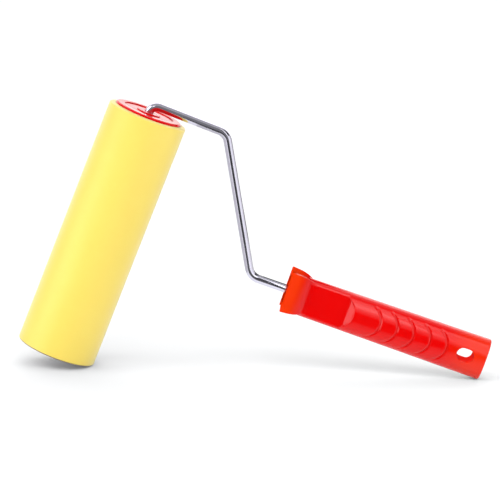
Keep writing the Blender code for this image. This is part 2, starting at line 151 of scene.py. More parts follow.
# The painted dark line of shade on the rim starts and is full at these depths from the foam's end and from its
# side
RIM_SHADE_INSETS = (0.0011, 0.0006)
RIM_SHADE_WIDTHS = (0.0018, 0.0012)
FOAM_BOUNCE = 0.2
RED_BOUNCE = 0.25
RED_BRIGHT = (0.84, 0.0015, 0.0015)
RED_DEEP = (0.79, 0.001, 0.001)
# Painted light: the orange glow of light coming through thin red walls
RED_PAINTED_GLOW = (0.93, 0.040, 0.003)
RED_ROUGHNESS = (0.07, 0.12)
CAP_GLOSS = 0.25
HANDLE_GLOSS = 0.5
WIRE_BRIGHT = (0.79, 0.77, 0.88)
WIRE_DULL = (0.65, 0.63, 0.75)
WIRE_ROUGHNESS = (0.09, 0.17)
# Where light through the handle's thin walls is painted as an orange glow, as distances from its front: start, end
# and share
PAINTED_GLOW_HEAD = (0.012, 0.005, 1.0)
PAINTED_GLOW_BUTT = (0.116, 0.136, 0.55)
# The head's front has no gloss up to the first distance behind it, and full gloss at the second
MATT_FRONT = (0.0004, 0.0012)
# The hanging hole's wall glows within these distances of its middle, along the face and across it
HOLE_REACH = (0.0062, 0.0068)
HOLE_DEPTH = (0.0080, 0.0094)

WORLD_LIGHT = 0.26
WORLD_SEEN = 1.0
# Broad lamps: azimuth, elevation, half angles of the bright middle and of the edge, strength
LAMPS = (
    (0, 46, 16, 28, 2.1),
    (-70, 36, 16, 30, 2.3),
    (180, 10, 35, 60, 1.3),
    (180, 65, 20, 40, 0.6),
    (95, 12, 25, 50, -0.22),
)
FILL_PLACE = (0.92, -0.65, 0.65)
FILL_SIZE = 0.8
FILL_POWER = 3.8
FLOOR_GLOW = 0.06
HOLE_GLOW = 0.45
# Cards seen only in reflections: name and rows, each (left end, right end, radiance).
# A card reaches from each row to the next, and its radiance changes evenly between them.
CARDS = (
    (
        "card_handle",
        (
            ((0.015, -0.012, 0.001), (0.21, -0.012, 0.001), 0.9),
            ((0.015, -0.072, 0.001), (0.21, -0.072, 0.001), 0.42),
            ((0.015, -0.095, 0.001), (0.21, -0.095, 0.001), 0.12),
            ((0.015, -0.095, 0.008), (0.21, -0.095, 0.004), 0.0),
            ((0.015, -0.095, 0.066), (0.21, -0.095, 0.006), 0.0),
        ),
    ),
    (
        "card_front",
        (
            ((0.0, -0.45, 0.04), (0.6, -0.45, 0.04), 0.3),
            ((0.0, -0.45, 0.13), (0.6, -0.45, 0.12), 1.0),
            ((0.0, -0.45, 0.26), (0.6, -0.45, 0.24), 3.2),
            ((0.0, -0.45, 0.50), (0.6, -0.45, 0.48), 1.9),
            ((0.0, -0.45, 1.40), (0.6, -0.45, 1.40), 0.6),
        ),
    ),
    (
        "card_wire",
        (
            ((-0.07, -0.1, 0.001), (0.02, -0.1, 0.001), 0.12),
            ((-0.07, -0.1, 0.05), (0.02, -0.1, 0.05), 0.12),
            ((-0.07, -0.1, 0.08), (0.034, -0.1, 0.08), 0.06),
            ((-0.07, -0.1, 0.15), (0.046, -0.1, 0.15), 0.06),
            ((-0.1, -0.1, 0.16), (0.056, -0.1, 0.16), 0.2),
            ((-0.1, -0.1, 0.30), (0.05, -0.1, 0.30), 0.2),
        ),
    ),
    (
        "card_head",
        (
            ((0.0, 0.06, 0.065), (0.034, 0.06, 0.055), 0.0),
            ((0.0, 0.06, 0.085), (0.038, 0.06, 0.085), 0.0),
            ((0.0, 0.06, 0.10), (0.09, 0.06, 0.10), 0.0),
            ((0.027, 0.06, 0.115), (0.09, 0.06, 0.115), 0.0),
            ((0.027, 0.06, 0.20), (0.09, 0.06, 0.20), 0.0),
        ),
    ),
    (
        "card_crank",
        (
            ((-0.12, -0.06, 0.24), (0.0, -0.06, 0.24), 0.45),
            ((-0.12, 0.03, 0.24), (0.0, 0.03, 0.24), 0.45),
        ),
    ),
    (
        "card_hole",
        (
            ((0.125, 0.035, 0.006), (0.172, 0.035, 0.006), 0.02),
            ((0.125, 0.035, 0.027), (0.172, 0.035, 0.027), 0.02),
        ),
    ),
    (
        "card_left",
        (
            ((-0.46, -0.06, 0.02), (-0.34, -0.30, 0.02), 2.3),
            ((-0.46, -0.06, 0.19), (-0.34, -0.30, 0.19), 2.3),
        ),
    ),
    (
        "card_gap",
        (
            ((-0.032, -0.03, 0.055), (-0.032, 0.05, 0.055), 0.7),
            ((-0.052, -0.03, 0.155), (-0.052, 0.05, 0.155), 0.7),
        ),
    ),
    (
        "card_right",
        (
            ((0.223, -0.38, -0.02), (0.223, -0.38, 0.35), 1.35),
            ((0.375, -0.225, -0.02), (0.375, -0.225, 0.35), 1.1),
            ((0.428, 0.078, -0.02), (0.428, 0.078, 0.35), 0.85),
            ((0.303, 0.318, -0.02), (0.303, 0.318, 0.35), 0.6),
        ),
    ),
)
CAMERA_ELEVATION = math.radians(10.36)
CAMERA_ROLL = math.radians(2.154)
CAMERA_DISTANCE = 2.241
CAMERA_TARGET = (-0.006, 0.0, 0.086)
CAMERA_LENS = 230.4


def tool_matrix():
    """Frame of the tool: Z up the roller's axis, X towards the handle, from the joint."""
    joint = frame["joints"][0]
    axis = Vector(joint["axis"]).normalized()
    across = Vector((0, 1, 0))
    outward = across.cross(axis).normalized()
    place = Matrix((outward, across, axis)).transposed().to_4x4()
    place.translation = Vector(joint["pos_m"])
    return place


def handle_matrix():
    """Frame of the handle: X from its front face to the butt, from the butt's mount."""
    butt = next(m for m in frame["record"]["mounts"] if m["name"] == "butt_face")
    along = Vector(butt["axis"]).normalized()
    across = Vector((0, 1, 0))
    upward = along.cross(across).normalized()
    place = Matrix((along, across, upward)).transposed().to_4x4()
    place.translation = Vector(butt["pos_m"]) - along * HANDLE_LENGTH
    return place


TOOL = tool_matrix()
HANDLE = handle_matrix()


def new_object(name, vertices, faces, place):
    """Return a smooth mesh object whose vertices are moved into the row's frame."""
    mesh = bpy.data.meshes.new(name)
    mesh.from_pydata([tuple(point) for point in vertices], [], [tuple(face) for face in faces])
    mesh.transform(place)
    mesh.validate()
    mesh.shade_smooth()
    piece = bpy.data.objects.new(name, mesh)
    bpy.context.scene.collection.objects.link(piece)
    return piece


def arc(centre, radius, start, end, steps):
    """Return (radius, height) points on an arc, angles in degrees."""
    angles = np.radians(np.linspace(start, end, steps + 1))
    return [(centre[0] + radius * math.cos(a), centre[1] + radius * math.sin(a)) for a in angles]


def filleted(profile, radius, steps=4):
    """Round every corner of a closed (radius, height) outline."""
    rounded = []
    count = len(profile)
    for index in range(count):
        before = Vector(profile[index - 1])
        corner = Vector(profile[index])
        after = Vector(profile[(index + 1) % count])
        inward = before - corner
        outward = after - corner
        reach = min(radius, 0.45 * inward.length, 0.45 * outward.length)
        start = corner + inward.normalized() * reach
        end = corner + outward.normalized() * reach
        for step in range(steps + 1):
            share = step / steps
            point = start.lerp(corner, share).lerp(corner.lerp(end, share), share)
            rounded.append((point.x, point.y))
    return rounded


def lathe(profile, steps):
    """Turn a closed outline about Z; return its vertices and quads."""
    outline = np.array(profile)
    turns = np.linspace(0, math.tau, steps, endpoint=False)
    rings = np.empty((steps, len(outline), 3))
    rings[..., 0] = np.cos(turns)[:, None] * outline[:, 0]
    rings[..., 1] = np.sin(turns)[:, None] * outline[:, 0]
    rings[..., 2] = outline[:, 1]
    index = np.arange(steps * len(outline)).reshape(steps, -1)
    following = np.roll(index, -1, axis=0)
    quads = np.stack(
        [index, following, np.roll(following, -1, axis=1), np.roll(index, -1, axis=1)], axis=-1
    )
    return rings.reshape(-1, 3), quads.reshape(-1, 4)


# ---------------------------------------------------------------- handle as a solid field


def round_and(first, second, radius):
    """Intersection of two distance fields, with a rounded outer edge."""
    inner = np.minimum(np.maximum(first, second), -radius)
    return inner + np.hypot(np.maximum(first + radius, 0), np.maximum(second + radius, 0))


def round_or(first, second, radius):
    """Union of two distance fields, with a filleted inner corner."""
    outer = np.maximum(np.minimum(first, second), radius)
    return outer - np.hypot(np.maximum(radius - first, 0), np.maximum(radius - second, 0))


def taper(values, station):
    """Return a size that changes evenly from the body's start to the butt."""
    share = (station - BODY_START) / (HANDLE_LENGTH - BODY_START)
    return values[0] + (values[1] - values[0]) * share


def body_field(x, y, z):
    """Distance to the tapered oval body, rounded at the butt."""
    half_height = taper(BODY_HALF_HEIGHTS, x)
    half_depth = taper(BODY_HALF_DEPTHS, x)
    power = BODY_SQUARENESS
    up = z / half_height
    out = y / half_depth
    level = (up**power + out**power + 1e-12) ** (1 / power)
    slope_up = (up / level) ** (power - 1) / half_height
    slope_out = (out / level) ** (power - 1) / half_depth
    oval = (level - 1) / np.hypot(slope_up, slope_out)
    body = round_and(oval, x - HANDLE_LENGTH, BUTT_EDGE)
    return np.maximum(body, BODY_START - x)


def grip_field(x, y, z):
    """Distance to the cut of a finger grip, negative where material goes."""
    floor = GRIP_FLOOR - y
    ramp = (x - GRIP_END) * math.sin(GRIP_RAMP_SLOPE) + floor * math.cos(GRIP_RAMP_SLOPE)
    bow_centre = GRIP_APEX - GROOVE_ARC_RADIUS
    bow_start = bow_centre + math.sqrt(GROOVE_ARC_RADIUS**2 - GRIP_BOW_HALF_HEIGHT**2)
    bow = np.hypot(x - bow_centre, z) - GROOVE_ARC_RADIUS
    bow = np.minimum(bow, x - bow_start)
    return round_and(round_and(floor, ramp, RAMP_EDGE), bow, FINE_EDGE)


def head_side(x):
    """Half depth of the head at each station, and its slope: a bow, then a fillet."""
    bow_middle = HEAD_HALF_DEPTH - HEAD_BOW_RADIUS
    fillet_height = GRIP_FLOOR + HEAD_FILLET
    reach = HEAD_BOW_RADIUS + HEAD_FILLET
    turn = math.acos((fillet_height - bow_middle) / reach)
    end = reach * math.sin(turn)
    join = HEAD_BOW_RADIUS * math.sin(turn)
    on_bow = np.clip(x, 0, join)
    on_fillet = np.clip(end - x, 0, end - join)
    bow_rise = np.sqrt(HEAD_BOW_RADIUS**2 - on_bow**2)
    fillet_drop = np.sqrt(HEAD_FILLET**2 - on_fillet**2)
    bowed = x < join
    half_depth = np.where(bowed, bow_middle + bow_rise, fillet_height - fillet_drop)
    slope = np.where(bowed, on_bow / bow_rise, on_fillet / fillet_drop)
    return half_depth, slope, end


def head_field(x, y, z):
    """Distance to the flared head, whose top and underside are scooped."""
    half_depth, slope, end = head_side(x)
    side = (y - half_depth) / np.hypot(1, slope)
    plan = round_and(side, np.maximum(-x - HEAD_LEAD, x - end - HEAD_TAIL), HEAD_EDGE)
    share = np.clip(x / end, 0, 1)
    across = np.minimum(y / half_depth, 1)
    height = HEAD_HALF_HEIGHTS[0] + (HEAD_HALF_HEIGHTS[1] - HEAD_HALF_HEIGHTS[0]) * share
    height = height - HEAD_TAIL_DROP * share**4
    tilt = 2 * HEAD_SCOOP * across / half_depth
    top = (z - height + HEAD_SCOOP * (1 - across**2)) / np.hypot(1, tilt)
    return round_and(plan, top, HEAD_EDGE)


def pocket_field(x, y, z):
    """Distance to the cored front: a pocket less the wire boss and four ribs."""
    pocket = np.maximum(x - POCKET_DEPTH, np.maximum(y - POCKET_HALF_DEPTH, z - POCKET_HALF_HEIGHT))
    boss = np.hypot(y, z) - BOSS_RADIUS
    ribs = np.minimum(y, z) - POCKET_RIB_WIDTH / 2
    standing = round_or(boss, ribs, RIB_FILLET)
    standing = round_and(standing, POCKET_RIB_SETBACK - x, FINE_EDGE)
    return round_and(pocket, -standing, FINE_EDGE)


def groove_field(x, z):
    """Depth of the bowed grooves, fading out at both ends."""
    depth = np.zeros_like(x)
    for number in range(GROOVE_COUNT):
        centre = GROOVE_FIRST + number * GROOVE_PITCH - GROOVE_ARC_RADIUS
        offset = np.hypot(x - centre, z) - GROOVE_ARC_RADIUS
        turn = np.abs(np.arctan2(z, x - centre)) / GROOVE_HALF_ANGLE
        section = np.clip(1 - np.abs(offset) / GROOVE_HALF_WIDTH, 0, 1)
        depth = np.maximum(depth, GROOVE_DEPTH * section * np.clip(1 - turn**4, 0, 1))
    return depth


def handle_field(points):
    """Distance to the whole handle at points in its own frame; both sides are alike."""
    x = points[:, 0]
    y = np.abs(points[:, 1])
    z = np.abs(points[:, 2])
    front_z = np.abs(points[:, 2] - HEAD_RISE)
    body = round_and(body_field(x, y, z), -grip_field(x, y, z), GRIP_EDGE)
    solid = round_or(body, head_field(x, y, front_z), HEAD_BLEND)
    solid = round_and(solid, -pocket_field(x, y, front_z), FINE_EDGE)
    solid = solid + groove_field(x, z)
    hole_half = (HANG_HOLE_LENGTH - HANG_HOLE_WIDTH) / 2
    reach = np.maximum(np.abs(x - HANG_HOLE_STATION) - hole_half, 0)
    hole = np.hypot(reach, z) - HANG_HOLE_WIDTH / 2
    solid = round_and(solid, -hole, HANG_HOLE_EDGE)
    bore = np.maximum(np.hypot(y, front_z) - BORE_RADIUS, x - WIRE_IN_HANDLE - CLEARANCE)
    return round_and(solid, -bore, FINE_EDGE)


def field_gradient(field, points, step=0.00002):
    """Return a field's gradient by central differences."""
    gradient = np.empty_like(points)
    for axis in range(3):
        shift = np.zeros(3)
        shift[axis] = step
        gradient[:, axis] = (field(points + shift) - field(points - shift)) / (2 * step)
    return gradient


def settle(field, points, limit, rounds=3):
    """Slide points onto the field's surface."""
    for _ in range(rounds):
        gradient = field_gradient(field, points)
        square = np.maximum((gradient**2).sum(1), 0.05)
        step = -field(points)[:, None] * gradient / square[:, None]
        length = np.linalg.norm(step, axis=1)[:, None]
        points = points + step * np.minimum(1, limit / np.maximum(length, 1e-12))
    return points


def surface_net(field, low, high, cell):
    """Return vertices and quads of the surface where a field is zero."""
    axes = [np.arange(lo, hi + cell, cell) for lo, hi in zip(low, high)]
    grid = np.stack(np.meshgrid(*axes, indexing="ij"), axis=-1)
    inside = (field(grid.reshape(-1, 3)) < 0).reshape(grid.shape[:3])
    filled = np.zeros([size - 1 for size in inside.shape], int)
    for dx in (0, 1):
        for dy in (0, 1):
            for dz in (0, 1):
                ends = [d + size for d, size in zip((dx, dy, dz), filled.shape)]
                filled += inside[dx : ends[0], dy : ends[1], dz : ends[2]]
    mixed = (filled > 0) & (filled < 8)
    number = np.full(filled.shape, -1)
    number[mixed] = np.arange(mixed.sum())
    cells = np.argwhere(mixed)
    points = np.array(low) + (cells + 0.5) * cell
    quads = []
    for axis in range(3):
        others = [(axis + 1) % 3, (axis + 2) % 3]
        here = np.moveaxis(inside, axis, 0)
        crossing = np.moveaxis(here[:-1] != here[1:], 0, axis)
        corners = np.argwhere(crossing)
        room = np.all([(corners[:, o] > 0) & (corners[:, o] < filled.shape[o]) for o in others], 0)
        corners = corners[room]
        ring = []
        for first, second in ((0, 0), (1, 0), (1, 1), (0, 1)):
            around = corners.copy()
            around[:, others[0]] -= first
            around[:, others[1]] -= second
            ring.append(number[tuple(around.T)])
        quad = np.stack(ring, axis=-1)
        starts_inside = inside[tuple(corners.T)]
        quad[~starts_inside] = quad[~starts_inside][:, ::-1]
        quads.append(quad)
    return points, np.concatenate(quads)


def relax(field, points, quads, cell, rounds=6):
    """Even out a net's vertices along the surface, and keep them on it."""
    ends = np.concatenate([quads, np.roll(quads, -1, axis=1)]).reshape(2, -1)
    starts = np.concatenate([ends[0], ends[1]])
    finishes = np.concatenate([ends[1], ends[0]])
    count = np.bincount(starts, minlength=len(points))[:, None]
    for _ in range(rounds):
        total = np.stack(
            [np.bincount(starts, points[finishes, a], len(points)) for a in range(3)], axis=1
        )
        points = settle(field, 0.5 * points + 0.5 * total / count, cell, rounds=1)
    return points


def make_handle():
    """Fine mesh of the handle, with its true surface normals for a clean gloss."""
    half_depth = HEAD_HALF_DEPTH + HANDLE_MARGIN
    half_height = BODY_HALF_HEIGHTS[1] + HANDLE_MARGIN
    low = (-HEAD_LEAD - HANDLE_MARGIN, -half_depth, -half_height)
    high = (HANDLE_LENGTH + HANDLE_MARGIN, half_depth, half_height)
    points, quads = surface_net(handle_field, low, high, HANDLE_CELL)
    points = settle(handle_field, points, HANDLE_CELL)
    points = relax(handle_field, points, quads, HANDLE_CELL)
    points = settle(handle_field, points, HANDLE_CELL)
    piece = new_object("handle_moulding", points, quads, HANDLE)
    normals = field_gradient(handle_field, points)
    normals /= np.linalg.norm(normals, axis=1)[:, None]
    turned = normals @ np.array(HANDLE.to_3x3()).T
    piece.data.normals_split_custom_set_from_vertices([tuple(normal) for normal in turned])
    return piece


# ---------------------------------------------------------------- roller


def make_foam_sleeve():
    """Foam sleeve with soft rims and a surface that is nearly, but not quite, true."""
    half = ROLLER_LENGTH / 2
    inner = CORE_RADIUS + FOAM_GAP
    straight = half - FOAM_RIM
    heights = np.linspace(straight, -straight, FOAM_RINGS + 2)[1:-1]
    wall = [(ROLLER_RADIUS, z) for z in heights]
    top_rim = arc((ROLLER_RADIUS - FOAM_RIM, straight), FOAM_RIM, 90, 0, 6)
    bottom_rim = [(radius, -height) for radius, height in reversed(top_rim)]
    shares = (0, 0.33, 0.66, 1)
    start = inner + FOAM_GAP
    end_face = [(start + FOAM_FACE * share, FOAM_BULGE * (1 - share)) for share in shares]
    bottom = [(radius, -half) for radius, _ in reversed(end_face)]
    top = [(radius, half + bulge) for radius, bulge in end_face]
    bore = [(inner, FOAM_GAP - half), (inner, half + FOAM_BULGE - FOAM_GAP)]
    vertices, quads = lathe(top_rim + wall + bottom_rim + bottom + bore + top, FOAM_SIDES)
    outer = np.hypot(vertices[:, 0], vertices[:, 1]) > start + FOAM_GAP
    for index in np.flatnonzero(outer):
        point = Vector(vertices[index])
        swell = sum(noise.noise(point * count) * height for count, height in FOAM_WAVES)
        vertices[index, :2] *= 1 + (swell - FOAM_SHRINK) / ROLLER_RADIUS
        vertices[index, 2] *= 1 - FOAM_END_SHRINK / half
    return new_object("foam_sleeve", vertices, quads[:, ::-1], TOOL)


def box_mesh(low, high):
    """Return the vertices and faces of a box."""
    shape = bmesh.new()
    bmesh.ops.create_cube(shape, size=1.0)
    size = Vector(high) - Vector(low)
    middle = (Vector(high) + Vector(low)) / 2
    bmesh.ops.transform(
        shape, matrix=Matrix.Translation(middle) @ Matrix.Diagonal((*size, 1)), verts=shape.verts
    )
    vertices = [vertex.co.copy() for vertex in shape.verts]
    faces = [[vertex.index for vertex in face.verts] for face in shape.faces]
    shape.free()
    return vertices, faces


def apply_modifiers(piece):
    """Replace an object's mesh by its evaluated one."""
    graph = bpy.context.evaluated_depsgraph_get()
    mesh = bpy.data.meshes.new_from_object(piece.evaluated_get(graph))
    piece.modifiers.clear()
    piece.data = mesh


def join_on(piece, operand, operation="UNION"):
    """Join one closed shape to another for good, or cut it away."""
    boolean = piece.modifiers.new(operation.lower(), "BOOLEAN")
    boolean.operation = operation
    boolean.solver = "EXACT"
    boolean.object = operand
    bpy.context.view_layer.update()
    apply_modifiers(piece)
    bpy.data.objects.remove(operand, do_unlink=True)


def make_cap(name, core_end, turn):
    """Moulded end cap, with small radii on every edge and ribs behind its plate."""
    spigot = CORE_RADIUS - CORE_WALL - CLEARANCE
    floor = FLANGE_HEIGHT - CAP_RECESS_DEPTH
    back = floor - CAP_PLATE
    profile = [
        (BORE_RADIUS, -HUB_LENGTH),
        (BORE_RADIUS, FLANGE_HEIGHT),
        (CAP_RECESS_INNER, FLANGE_HEIGHT),
        (CAP_RECESS_INNER - CAP_DRAFT, floor),
        (CAP_RECESS_OUTER + CAP_DRAFT, floor),
        (CAP_RECESS_OUTER, FLANGE_HEIGHT),
        *arc((CORE_RADIUS - FLANGE_EDGE, FLANGE_HEIGHT - FLANGE_EDGE), FLANGE_EDGE, 90, 0, 6),
        (CORE_RADIUS, 0),
        (spigot, 0),
        (spigot, -SPIGOT_LENGTH),
        (spigot - SPIGOT_WALL, -SPIGOT_LENGTH),
        (spigot - SPIGOT_WALL, back),
        (HUB_RADIUS, back),
        (HUB_RADIUS, -HUB_LENGTH),
    ]
    place = TOOL @ Matrix.Translation((0, 0, core_end)) @ Matrix.Rotation(turn, 4, "X")
    cap = new_object(name, *lathe(filleted(profile, CAP_FILLET), CAP_SIDES), place)
    rib_vertices = []
    rib_faces = []
    for number in range(CAP_RIBS):
        vertices, faces = box_mesh(
            (HUB_RADIUS - CAP_RIB_ROOT, -CAP_RIB_WIDTH / 2, -CAP_RIB_DEPTH),
            (spigot - SPIGOT_WALL + CAP_RIB_ROOT, CAP_RIB_WIDTH / 2, back + CAP_RIB_ROOT),
        )
        around = Matrix.Rotation(math.tau * number / CAP_RIBS, 4, "Z")
        rib_faces += [[index + len(rib_vertices) for index in face] for face in faces]
        rib_vertices += [around @ vertex for vertex in vertices]
    join_on(cap, new_object(f"{name}_ribs", rib_vertices, rib_faces, place))
    return cap


# ---------------------------------------------------------------- wire frame


def wire_path():
    """Centre line of the wire in the tool's frame, with its three bends."""
    to_tool = TOOL.inverted()
    along = (to_tool.to_3x3() @ HANDLE.to_3x3() @ Vector((1, 0, 0))).normalized()
    front = to_tool @ (HANDLE @ Vector((0, 0, HEAD_RISE)))
    elbow = front - along * (front.x - ELBOW_REACH) / along.x
    low_end = (to_tool @ Vector(tail_point())).z
    corners = [
        Vector((0, 0, low_end)),
        Vector((0, 0, CRANK_HEIGHT)),
        Vector((CRANK_REACH, 0, CRANK_HEIGHT)),
        elbow,
        front + along * WIRE_IN_HANDLE,
    ]
    path = [corners[0]]
    bends = (CRANK_BEND, SHOULDER_BEND, ELBOW_BEND)
    for before, corner, after, radius in zip(corners, corners[1:], corners[2:], bends):
        inward = (before - corner).normalized()
        outward = (after - corner).normalized()
        half_angle = inward.angle(outward) / 2
        centre = corner + (inward + outward).normalized() * radius / math.sin(half_angle)
        start = (corner + inward * radius / math.tan(half_angle) - centre).normalized()
        end = (corner + outward * radius / math.tan(half_angle) - centre).normalized()
        shares = [step / BEND_STEPS for step in range(BEND_STEPS + 1)]
        path += [centre + radius * start.slerp(end, share) for share in shares]
    path.append(corners[-1])
    return path


def tail_point():
    """Middle of the axle's outer end, from the CAD wire's own vertices."""
    axis = TOOL.to_3x3() @ Vector((0, 0, 1))
    vertices = [vertex.co for vertex in frame["nodes"]["wire_frame"].data.vertices]
    lowest = min(vertex.dot(axis) for vertex in vertices)
    tail = [vertex for vertex in vertices if vertex.dot(axis) < lowest + 0.0001]
    return sum(tail, Vector()) / len(tail)


def make_wire():
    """Round wire swept along its path, with chamfered ends."""
    path = wire_path()
    stations = []
    for index, place in enumerate(path):
        before = path[max(index - 1, 0)]
        after = path[min(index + 1, len(path) - 1)]
        stations.append((place, (after - before).normalized(), WIRE_RADIUS))
    first, last = stations[0], stations[-1]
    stations[0] = (first[0] + first[1] * WIRE_CHAMFER, first[1], WIRE_RADIUS)
    stations.insert(0, (first[0], first[1], WIRE_RADIUS - WIRE_CHAMFER))
    stations[-1] = (last[0] - last[1] * WIRE_CHAMFER, last[1], WIRE_RADIUS)
    stations.append((last[0], last[1], WIRE_RADIUS - WIRE_CHAMFER))
    across = Vector((0, 1, 0))
    vertices = []
    for place, along, radius in stations:
        normal = along.cross(across)
        for side in range(WIRE_SIDES):
            angle = math.tau * side / WIRE_SIDES
            spoke = across * math.cos(angle) + normal * math.sin(angle)
            vertices.append(place + spoke * radius)
    faces = []
    for ring in range(len(stations) - 1):
        for side in range(WIRE_SIDES):
            after = (side + 1) % WIRE_SIDES
            base = ring * WIRE_SIDES
            following = base + WIRE_SIDES
            faces.append((base + side, following + side, following + after, base + after))
    faces.append(tuple(range(WIRE_SIDES)))
    faces.append(tuple(reversed(range(len(vertices) - WIRE_SIDES, len(vertices)))))
    wire = new_object("bent_wire", vertices, faces, TOOL)
    wire.data.set_sharp_from_angle(angle=math.radians(35))
    return wire


# ---------------------------------------------------------------- materials


class Surface:
    """A material's node tree, with short calls to build it."""

    def __init__(self, name, **principled):
        self.material = bpy.data.materials.new(name)
        self.material.use_nodes = True
        self.tree = self.material.node_tree
        self.shader = self.tree.nodes["Principled BSDF"]
        for socket, value in principled.items():
            self.shader.inputs[socket.replace("_", " ")].default_value = value
        self.place = self.add("ShaderNodeTexCoord").outputs["Object"]

    def add(self, kind, inputs=(), **settings):
        """Add a node; inputs are (socket, value or output) pairs."""
        node = self.tree.nodes.new(kind)
        for key, value in settings.items():
            setattr(node, key, value)
        for socket, value in inputs:
            if isinstance(value, bpy.types.NodeSocket):
                self.tree.links.new(value, node.inputs[socket])
            else:
                node.inputs[socket].default_value = value
        return node

    def link(self, output, socket):
        """Drive one input of the shader."""
        self.tree.links.new(output, self.shader.inputs[socket])

    def noise(self, scale, detail, roughness):
        """Return a noise value between 0 and 1."""
        inputs = [
            ("Vector", self.place),
            ("Scale", scale),
            ("Detail", detail),
            ("Roughness", roughness),
        ]
        return self.add("ShaderNodeTexNoise", inputs).outputs["Fac"]

    def cells(self, scale):
        """Return the distance to the nearest cell point."""
        inputs = [("Vector", self.place), ("Scale", scale)]
        return self.add("ShaderNodeTexVoronoi", inputs).outputs["Distance"]

    def vector(self, operation, first, second=None, output=0):
        """Return the result of a vector sum; its inputs are outputs or plain vectors."""
        inputs = [(0, first)]
        if second is not None:
            inputs.append((1, tuple(second)))
        return self.add("ShaderNodeVectorMath", inputs, operation=operation).outputs[output]

    def product(self, first, second):
        """Multiply two values."""
        inputs = [(0, first), (1, second)]
        return self.add("ShaderNodeMath", inputs, operation="MULTIPLY").outputs[0]

    def spread(self, value, low, high, to_low, to_high):
        """Map a value from one range to another, clamped."""
        inputs = [
            ("Value", value),
            ("From Min", low),
            ("From Max", high),
            ("To Min", to_low),
            ("To Max", to_high),
        ]
        return self.add("ShaderNodeMapRange", inputs).outputs["Result"]

    def blend(self, share, first, second):
        """Mix two colours by a share."""
        inputs = [("Factor", share), ("A", first), ("B", second)]
        node = self.add("ShaderNodeMix", data_type="RGBA")
        for socket, value in inputs:
            target = next(i for i in node.inputs if i.name == socket and i.enabled)
            if isinstance(value, bpy.types.NodeSocket):
                self.tree.links.new(value, target)
            elif isinstance(value, tuple):
                target.default_value = (*value, 1)
            else:
                target.default_value = value
        return next(o for o in node.outputs if o.enabled)

    def neutral_bounce(self, colour, grey):
        """Keep the light that bounces off this surface white, so that it doesn't tint the floor."""
        bounced = self.add("ShaderNodeLightPath").outputs["Is Diffuse Ray"]
        return self.blend(bounced, colour, (grey, grey, grey))

    def bump(self, heights):
        """Stack bumps, each (height output, strength, distance)."""
        normal = None
        for height, strength, distance in heights:
            inputs = [("Height", height), ("Strength", strength), ("Distance", distance)]
            if normal is not None:
                inputs.append(("Normal", normal))
            normal = self.add("ShaderNodeBump", inputs).outputs["Normal"]
        self.link(normal, "Normal")


def painted_rim_shade(surface):
    """Return 1 on the rim of the foam's outer end, where a dark line of shade is painted."""
    axis = TOOL.to_3x3() @ Vector((0, 0, 1))
    from_middle = surface.vector("SUBTRACT", surface.place, TOOL.translation)
    along = surface.vector("DOT_PRODUCT", from_middle, -axis, "Value")
    across = surface.vector("CROSS_PRODUCT", from_middle, axis)
    radius = surface.vector("LENGTH", across, output="Value")
    ends = [ROLLER_LENGTH / 2 - inset for inset in RIM_SHADE_INSETS]
    radii = [ROLLER_RADIUS - inset for inset in RIM_SHADE_WIDTHS]
    return surface.product(
        surface.spread(along, *ends, 0.0, 1.0), surface.spread(radius, *radii, 0.0, 1.0)
    )


def foam_material():
    """Fine-celled yellow foam: tiny open pores, a soft nap, faint mottling and a painted dark line of shade round
    its outer rim.
    """
    surface = Surface("foam_fine", Roughness=0.5, Sheen_Weight=0.5, Sheen_Roughness=0.5)
    surface.shader.inputs["Sheen Tint"].default_value = (1.0, 1.0, 0.95, 1)
    surface.shader.inputs["Specular IOR Level"].default_value = 1.0
    mottle = surface.noise(70, 4, 0.6)
    colour = surface.blend(mottle, FOAM_LIGHT, FOAM_DEEP)
    # Painted shade: darken the rim of the outer end
    colour = surface.blend(painted_rim_shade(surface), colour, FOAM_PAINTED_SHADE)
    surface.link(surface.neutral_bounce(colour, FOAM_BOUNCE), "Base Color")
    pores = surface.spread(surface.cells(2400), 0.05, 0.45, 0.0, 1.0)
    grain = surface.noise(5200, 3, 0.6)
    surface.bump([(pores, 0.25, 0.00012), (grain, 0.2, 0.0001)])
    return surface.material


def ramp(surface, origin, along, ends, values):
    """Change a value between two distances from the origin along a direction."""
    reach = surface.vector("DOT_PRODUCT", surface.place, along, "Value")
    shift = Vector(origin).dot(along)
    return surface.spread(reach, ends[0] + shift, ends[1] + shift, *values)


def light_hole(surface, hole):
    """Glow a little on the wall of the hanging hole, as its plastic lets light through."""
    offset = surface.vector("SUBTRACT", surface.place, hole)
    aside = surface.vector("DOT_PRODUCT", offset, (0, 1, 0), "Value")
    inside = surface.add("ShaderNodeMath", [(0, aside)], operation="ABSOLUTE").outputs[0]
    away = surface.vector("LENGTH", surface.vector("MULTIPLY", offset, (1, 0, 1)), output="Value")
    near = surface.spread(away, *HOLE_REACH, 1.0, 0.0)
    depth = surface.spread(inside, *HOLE_DEPTH, HOLE_GLOW, 0.0)
    surface.link(surface.product(near, depth), "Emission Strength")
    surface.shader.inputs["Emission Color"].default_value = (*RED_BRIGHT, 1)


